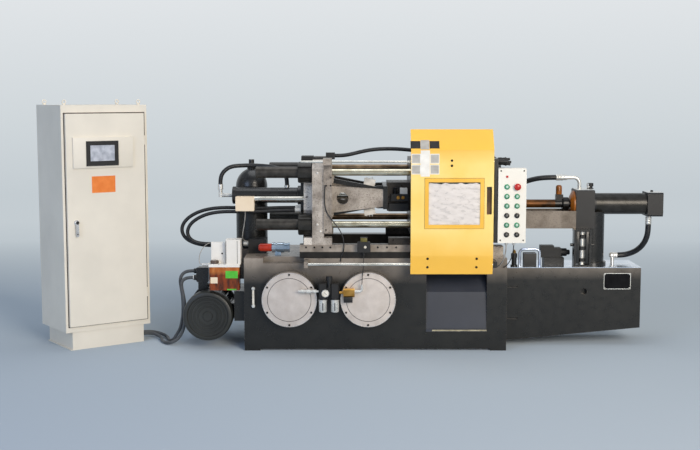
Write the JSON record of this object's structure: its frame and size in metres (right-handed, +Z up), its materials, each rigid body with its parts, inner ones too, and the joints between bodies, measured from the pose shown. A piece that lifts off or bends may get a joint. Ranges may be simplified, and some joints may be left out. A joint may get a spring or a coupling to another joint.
{
  "type": "cold-chamber die casting machine",
  "caption": "Horizontal cold-chamber die casting machine with toggle clamp, tie bars, sliding guard door, injection cylinder, oil-tank bed and a separate control cabinet.",
  "frame": {"origin": "on the floor, at the middle of the machine and its cabinet seen from above", "axes": "+X along the machine from the clamping end to the injection end, +Y away from the operator, +Z up"},
  "size_m": [4.2063, 1.006, 1.636],
  "materials": {
    "dark_paint": "satin",
    "grey_paint": "satin",
    "yellow_paint": "gloss",
    "cream_paint": "satin",
    "white_paint": "satin",
    "slate_paint": "satin",
    "orange_paint": "satin",
    "red_paint": "satin",
    "plate_aluminium": "brushed",
    "bright_steel": "polished",
    "cast_grey": "machined",
    "black_plastic": "matte",
    "amber_plastic": "gloss",
    "green_plastic": "gloss",
    "clear_pane": "gloss",
    "brass_fitting": "satin",
    "hose_rubber": "matte",
    "grey_conduit": "matte"
  },
  "bodies": {
    "machine": {"bed": "dark_paint", "injection_base": "dark_paint", "deck_sheet": "bright_steel", "tank_covers": "plate_aluminium", "chute": "slate_paint", "level_gauge": "black_plastic", "bed_ways": "cast_grey", "side_brackets": "dark_paint", "tail_platen": "grey_paint", "tie_bars": "bright_steel", "tie_bar_nuts": "dark_paint", "clamp_cylinder": "dark_paint", "toggle_cheeks": "grey_paint", "toggle_links": "dark_paint", "moving_platen": "grey_paint", "fixed_platen": "grey_paint", "guide_rods": "bright_steel", "rod_brackets": "dark_paint", "button_box": "white_paint", "push_buttons": "green_plastic", "rear_guard": "yellow_paint", "accumulator": "dark_paint", "motor": "dark_paint", "motor_cowl": "dark_paint", "terminal_box": "dark_paint", "lubricator": "white_paint", "lubricator_tank": "amber_plastic", "air_unit": "black_plastic", "air_valve": "brass_fitting", "junction_box": "cream_paint", "limit_switch": "black_plastic", "oil_filter": "red_paint", "shot_sleeve": "cast_grey", "injection_frame": "grey_paint", "injection_flange": "orange_paint", "injection_head": "grey_paint", "injection_cylinder": "dark_paint", "support_column": "dark_paint", "jack_screw": "bright_steel", "valve_blocks": "dark_paint", "steel_loop": "bright_steel", "hose_fittings": "bright_steel", "cabinet_shell": "cream_paint", "cabinet_plinth": "cream_paint", "cabinet_plate": "cream_paint", "clamp_hose": "hose_rubber", "tail_hose_upper": "hose_rubber", "tail_hose_lower": "hose_rubber", "head_hose": "hose_rubber", "cylinder_hose": "hose_rubber", "platen_hose": "hose_rubber", "conduit_1": "grey_conduit", "conduit_2": "grey_conduit"},
    "guard": {"guard_door": "yellow_paint", "guard_window": "clear_pane", "guard_handle": "black_plastic"},
    "shot_piston": {"injection_rod": "bright_steel"},
    "cabinet_leaf": {"cabinet_door": "cream_paint", "screen_panel": "cream_paint"},
    "lock_lever": {"door_lock": "black_plastic"}
  },
  "joints": [
    {"name": "guard_slide", "type": "slide", "parent": "machine", "child": "guard", "axis": [-1, 0, 0], "range_m": [0, 0.47]},
    {"name": "shot_slide", "type": "slide", "parent": "machine", "child": "shot_piston", "axis": [-1, 0, 0], "range_m": [0, 0.25]},
    {"name": "cabinet_hinge", "type": "hinge", "parent": "machine", "child": "cabinet_leaf", "pos_m": [-1.37048, -0.05614, 0], "axis": [0, 0, 1], "range_deg": [0, 90]},
    {"name": "lock_turn", "type": "hinge", "parent": "cabinet_leaf", "child": "lock_lever", "pos_m": [-1.77062, -0.35278, 0.843], "axis": [0.5793, -0.8151, 0], "range_deg": [0, 90]}
  ]
}
